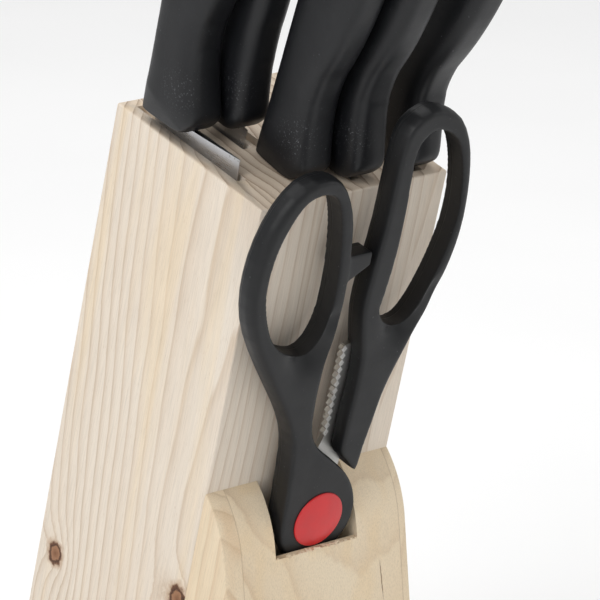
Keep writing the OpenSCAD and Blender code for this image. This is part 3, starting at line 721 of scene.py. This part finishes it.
scoops = {
    "shear_left_handle": (((-0.0180, 0.0640), 0.0062, 0.0042),
                          ((-0.0115, 0.0740), 0.0040, 0.0016)),
    "shear_right_handle": (((0.0185, 0.0670), 0.0056, 0.0038),
                           ((0.0290, 0.0770), 0.0045, 0.0014)),
}
for order, (node, rests) in enumerate(scoops.items()):
    body = "scissors_left" if "left" in node else "scissors_right"
    build = merged(node)
    build.transform(to_shears)
    loop = piece_from(node + "_shell", build, body, "black_plastic", node)
    remesh = loop.modifiers.new("shell", "REMESH")
    remesh.mode = "VOXEL"
    remesh.voxel_size = shell_step
    soften = loop.modifiers.new("soften", "SMOOTH")
    soften.factor, soften.iterations = 0.5, 9
    shown = loop.evaluated_get(bpy.context.evaluated_depsgraph_get())
    shell = bpy.data.meshes.new_from_object(shown)
    loop.modifiers.clear()
    loop.data = shell
    points = np.empty(len(shell.vertices) * 3)
    normals = np.empty(len(shell.vertices) * 3)
    shell.vertices.foreach_get("co", points)
    shell.vertex_normals.foreach_get("vector", normals)
    points, normals = points.reshape(-1, 3), normals.reshape(-1, 3)
    facing = np.clip(-normals[:, 1], 0, 1) ** 2
    for (x, z), wide, deep in rests:
        off = ((points[:, 0] - x) ** 2 + (points[:, 2] - z) ** 2) / wide ** 2
        points[:, 1] += deep * np.exp(-off) * facing
    shell.vertices.foreach_set("co", points.ravel())
    shell.transform(in_shears)
    for face in shell.polygons:
        face.use_smooth = True
    shell.materials.clear()
    shell.materials.append(moulded_black(node.replace("_", " ") + " plastic", shear_tone, 0.46,
                                         seed=4.1 + order, parting=True))

# ------------------------------------------------------------------ scissor steel
# Two stamped steel halves whose bare edges between the shanks are a nutcracker,
# one side scalloped and one side cut in sharp teeth.

shear_steel = brushed("shear steel", srgb(176, 175, 172), shine=0.3)
for node in ("shear_left_blade", "shear_right_blade"):
    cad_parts[node].data.materials.clear()
    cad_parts[node].data.materials.append(shear_steel)

tooth_rule = bpy.data.node_groups.new("nutcracker teeth", "GeometryNodeTree")
tooth_rule.interface.new_socket("Geometry", in_out="INPUT", socket_type="NodeSocketGeometry")
tooth_inputs = {}
for label, kind in (("First", "Vector"), ("Last", "Vector"), ("Count", "Int"),
                    ("Width", "Float"), ("Depth", "Float"), ("Thickness", "Float"),
                    ("Lean", "Float"), ("Material", "Material")):
    tooth_inputs[label] = tooth_rule.interface.new_socket(
        label, in_out="INPUT", socket_type="NodeSocket" + kind).identifier
tooth_rule.interface.new_socket("Geometry", in_out="OUTPUT", socket_type="NodeSocketGeometry")
asked = tooth_rule.nodes.new("NodeGroupInput").outputs
row = tree_node(tooth_rule, "GeometryNodeMeshLine", settings={"mode": "END_POINTS"},
                Count=asked["Count"], Start_Location=asked["First"], Offset=asked["Last"])
tooth = tree_node(tooth_rule, "GeometryNodeMeshCylinder",
                  Vertices=4, Side_Segments=1, Radius=1.0, Depth=1.0)
tooth = tree_node(tooth_rule, "GeometryNodeTransform", Geometry=tooth,
                  Rotation=(math.pi / 2, 0, 0),
                  Scale=tree_node(tooth_rule, "ShaderNodeCombineXYZ", X=asked["Depth"],
                                  Y=asked["Width"], Z=asked["Thickness"]))
tooth = tree_node(tooth_rule, "GeometryNodeTransform", Geometry=tooth,
                  Rotation=tree_node(tooth_rule, "ShaderNodeCombineXYZ", X=asked["Lean"]))
teeth = tree_node(tooth_rule, "GeometryNodeInstanceOnPoints", Points=row, Instance=tooth)
teeth = tree_node(tooth_rule, "GeometryNodeRealizeInstances", Geometry=teeth)
teeth = tree_node(tooth_rule, "GeometryNodeSetMaterial", Geometry=teeth,
                  Material=asked["Material"])
tooth_rule.links.new(teeth, tooth_rule.nodes.new("NodeGroupOutput").inputs[0])

ground_bright = brushed("bright ground steel", srgb(236, 235, 232), shine=0.42)
for name, body, first, last, count, wide, deep, thick in (
        ("left_jaw_scallops", "scissors_left", (-0.0086, -0.00095, 0.0335),
         (-0.0092, -0.00095, 0.0485), 5, 0.0021, 0.0011, 0.00184),
        ("right_jaw_teeth", "scissors_right", (0.0013, 0.00092, 0.0285),
         (0.0018, 0.00092, 0.0588), 13, 0.0014, 0.0011, 0.00184)):
    grown(name, tooth_rule, {
        tooth_inputs["First"]: in_shears @ Vector(first),
        tooth_inputs["Last"]: in_shears @ Vector(last),
        tooth_inputs["Count"]: count, tooth_inputs["Width"]: wide,
        tooth_inputs["Depth"]: deep, tooth_inputs["Thickness"]: thick,
        tooth_inputs["Lean"]: lean, tooth_inputs["Material"]: ground_bright},
        body, "blade_steel")

# ---------------------------------------------------------------------- saw burrs
# Torn fibres that the saw left along the bottom of the notch: small pale
# splinters of the foot's own wood, each turned and sized at random.

burr_rule = bpy.data.node_groups.new("saw burrs", "GeometryNodeTree")
burr_rule.interface.new_socket("Geometry", in_out="INPUT", socket_type="NodeSocketGeometry")
burr_inputs = {}
for label, kind in (("First", "Vector"), ("Last", "Vector"), ("Count", "Int"),
                    ("Size", "Float"), ("Scatter", "Float"), ("Seed", "Int"),
                    ("Material", "Material")):
    burr_inputs[label] = burr_rule.interface.new_socket(
        label, in_out="INPUT", socket_type="NodeSocket" + kind).identifier
burr_rule.interface.new_socket("Geometry", in_out="OUTPUT", socket_type="NodeSocketGeometry")
wanted = burr_rule.nodes.new("NodeGroupInput").outputs


def chance(low, high, seed, kind="FLOAT_VECTOR"):
    made = burr_rule.nodes.new("FunctionNodeRandomValue")
    made.data_type = kind
    made.inputs[0 if kind == "FLOAT_VECTOR" else 2].default_value = low
    made.inputs[1 if kind == "FLOAT_VECTOR" else 3].default_value = high
    burr_rule.links.new(seed, made.inputs["Seed"])
    return made.outputs[0 if kind == "FLOAT_VECTOR" else 1]


rim_row = tree_node(burr_rule, "GeometryNodeMeshLine", settings={"mode": "END_POINTS"},
                    Count=wanted["Count"], Start_Location=wanted["First"], Offset=wanted["Last"])
spread = burr_rule.nodes.new("ShaderNodeVectorMath")
spread.operation = "SCALE"
burr_rule.links.new(chance((-1, -0.2, -0.3), (1, 0.2, 0.3), wanted["Seed"]), spread.inputs[0])
burr_rule.links.new(wanted["Scatter"], spread.inputs["Scale"])
rim_row = tree_node(burr_rule, "GeometryNodeSetPosition", Geometry=rim_row,
                    Offset=spread.outputs[0])
splinter = tree_node(burr_rule, "GeometryNodeMeshCone", Vertices=4, Radius_Top=0.12,
                     Radius_Bottom=0.5, Depth=1.5)
splinters = tree_node(burr_rule, "GeometryNodeInstanceOnPoints", Points=rim_row,
                      Instance=splinter,
                      Rotation=chance((-0.5, 1.1, 0.0), (0.9, 2.0, 6.2), wanted["Seed"]))
how_big = burr_rule.nodes.new("ShaderNodeMath")
how_big.operation = "MULTIPLY"
burr_rule.links.new(chance(0.25, 1.0, wanted["Seed"], "FLOAT"), how_big.inputs[0])
burr_rule.links.new(wanted["Size"], how_big.inputs[1])
splinters = tree_node(burr_rule, "GeometryNodeScaleInstances", Instances=splinters,
                      Scale=how_big.outputs[0])
splinters = tree_node(burr_rule, "GeometryNodeRealizeInstances", Geometry=splinters)
splinters = tree_node(burr_rule, "GeometryNodeSetMaterial", Geometry=splinters,
                      Material=wanted["Material"])
burr_rule.links.new(splinters, burr_rule.nodes.new("NodeGroupOutput").inputs[0])

rim_front = -foot_out
grown("notch_burrs", burr_rule, {
    burr_inputs["First"]: in_block @ Vector((-notch_width / 2 + 0.001, rim_front + 0.0002,
                                             notch_rim + 0.0001)),
    burr_inputs["Last"]: in_block @ Vector((notch_width / 2 - 0.001, rim_front + 0.0002,
                                            notch_rim + 0.0001)),
    burr_inputs["Count"]: 40, burr_inputs["Size"]: 0.0014, burr_inputs["Scatter"]: 0.0010,
    burr_inputs["Seed"]: 7,
    burr_inputs["Material"]: wood("torn fibres", srgb(240, 228, 206), srgb(222, 198, 164),
                                  srgb(176, 138, 100), gap=5.0, heart=(30, 60),
                                  drift=(0, 0))},
    "block", "foot_wood")

# ---------------------------------------------------------------------- the pivot
# A steel bolt and hexagon nut hold the halves together. A red plastic cap,
# slightly domed and moulded smooth, is pressed over the bolt's head.

for node in ("pivot_bolt", "pivot_nut"):
    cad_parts[node].data.materials.clear()
    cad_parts[node].data.materials.append(shear_steel)

cap_radius, cap_dome, cap_rim = 0.0096, 0.00125, 0.00045
cap_back = -0.00586
cap_head, cap_recess, cap_land = 0.0052, 0.0007, 0.0001
turns = 96
build = bmesh.new()
outer = [(cap_radius, 0.0)]
for i in range(5):
    a = i / 4 * math.pi / 2
    outer.append((cap_radius - cap_rim + cap_rim * math.cos(a),
                  cap_land + cap_rim * math.sin(a)))
for i in range(1, 13):
    share = 1 - i / 12
    r = (cap_radius - cap_rim) * share
    outer.append((r, cap_land + cap_rim + (cap_dome - cap_rim) * (1 - share ** 2)))


def cap_ring(radius, out):
    """A ring of points round the pivot, a height out from the cap's back."""
    angles = (2 * math.pi * j / turns for j in range(turns))
    return [build.verts.new(in_shears @ Vector((radius * math.cos(a), cap_back - out,
                                                radius * math.sin(a)))) for a in angles]


rings = [cap_ring(radius, out) for radius, out in outer[:-1]]
inner = [cap_ring(cap_head, 0.0), cap_ring(cap_head, cap_recess)]
peak = build.verts.new(in_shears @ Vector((0, cap_back - outer[-1][1], 0)))
hollow = build.verts.new(in_shears @ Vector((0, cap_back - cap_recess, 0)))
bands = [inner[1], inner[0]] + rings
for a, b in zip(bands, bands[1:]):
    for j in range(turns):
        build.faces.new((a[j], a[(j + 1) % turns], b[(j + 1) % turns], b[j]))
for j in range(turns):
    build.faces.new((rings[-1][j], rings[-1][(j + 1) % turns], peak))
    build.faces.new((inner[1][j], hollow, inner[1][(j + 1) % turns]))
bmesh.ops.recalc_face_normals(build, faces=build.faces)
cap = piece_from("red_pivot_cap", build, "scissors_left", "red_plastic", "pivot_cap")
for face in cap.data.polygons:
    face.use_smooth = True
cap.data.set_sharp_from_angle(angle=math.radians(50))

red = Finish("red cap plastic", srgb(206, 36, 40), 0.34, Specular_IOR_Level=0.5)
at = red.object_at()
flow = red.noise(at, 150.0, 3.0)
scuffs = red.noise(red.place(at, scale=(1, 1, 0.3)), 900.0, 2.0, 0.7)
red.wire("Base Color", red.mix(red.ramp(flow, (0.3, 0.0), (0.75, 1.0)), srgb(208, 34, 38),
                               srgb(194, 42, 46)))
red.wire("Roughness", red.ramp(scuffs, (0.35, 0.30), (0.7, 0.44)))
red.bump(red.mix(0.5, flow, scuffs), 0.00003, 0.4)
cap.data.materials.append(red.material)

# --------------------------------------------------------------- table and lights
# A white table under soft studio light: a large panel to the left, a weaker one
# to the right, and a pale surround.

scene = bpy.context.scene
scene.view_settings.view_transform = "Standard"
world = bpy.data.worlds.new("pale surround")
scene.world = world
world.use_nodes = True
world.node_tree.nodes["Background"].inputs["Color"].default_value = (1, 1, 1, 1)
world.node_tree.nodes["Background"].inputs["Strength"].default_value = 0.55

build = bmesh.new()
bmesh.ops.create_grid(build, x_segments=8, y_segments=8, size=9.0)
table_mesh = bpy.data.meshes.new("table_top")
build.to_mesh(table_mesh)
build.free()
table_top = bpy.data.objects.new("table_top", table_mesh)
scene.collection.objects.link(table_top)
table_top.location.z = -0.0002
white = Finish("white table", (0.9, 0.9, 0.9, 1), 0.7)
grain = white.noise(white.object_at(), 6.0, 2.0)
white.wire("Base Color", white.ramp(grain, (0.3, (0.95, 0.95, 0.95, 1)),
                                    (0.7, (0.97, 0.97, 0.97, 1))))
table_mesh.materials.append(white.material)

for name, place, size, power in (("left panel", (-1.5, -0.55, 1.25), 0.9, 11.5),
                                 ("right panel", (1.5, -1.2, 1.1), 1.2, 5),
                                 ("top panel", (0.1, 0.5, 1.9), 1.5, 17)):
    lamp = bpy.data.lights.new(name, "AREA")
    lamp.shape = "SQUARE"
    lamp.size = size
    lamp.energy = power
    light = bpy.data.objects.new(name, lamp)
    scene.collection.objects.link(light)
    light.location = place
    aim = Vector((0, 0, 0.18)) - Vector(place)
    light.rotation_euler = aim.to_track_quat("-Z", "Y").to_euler()

# ------------------------------------------------------------------------- camera
# Long lens, standing to the left of the front and looking down at 16 degrees.

camera = bpy.data.objects.new("camera", bpy.data.cameras.new("camera"))
scene.collection.objects.link(camera)
camera.data.sensor_width = 36
camera.data.lens = 269.7
camera.data.clip_start, camera.data.clip_end = 0.05, 60
right = Vector((0.76705, -0.64159, 0))
up_way = Vector((0.17975, 0.21490, 0.95996))
back_way = Vector((-0.61590, -0.73633, 0.28016))
place = Matrix((right, up_way, back_way)).transposed().to_4x4()
place.translation = Vector((-0.8651, -1.1077, 0.5689))
camera.matrix_world = place
scene.camera = camera
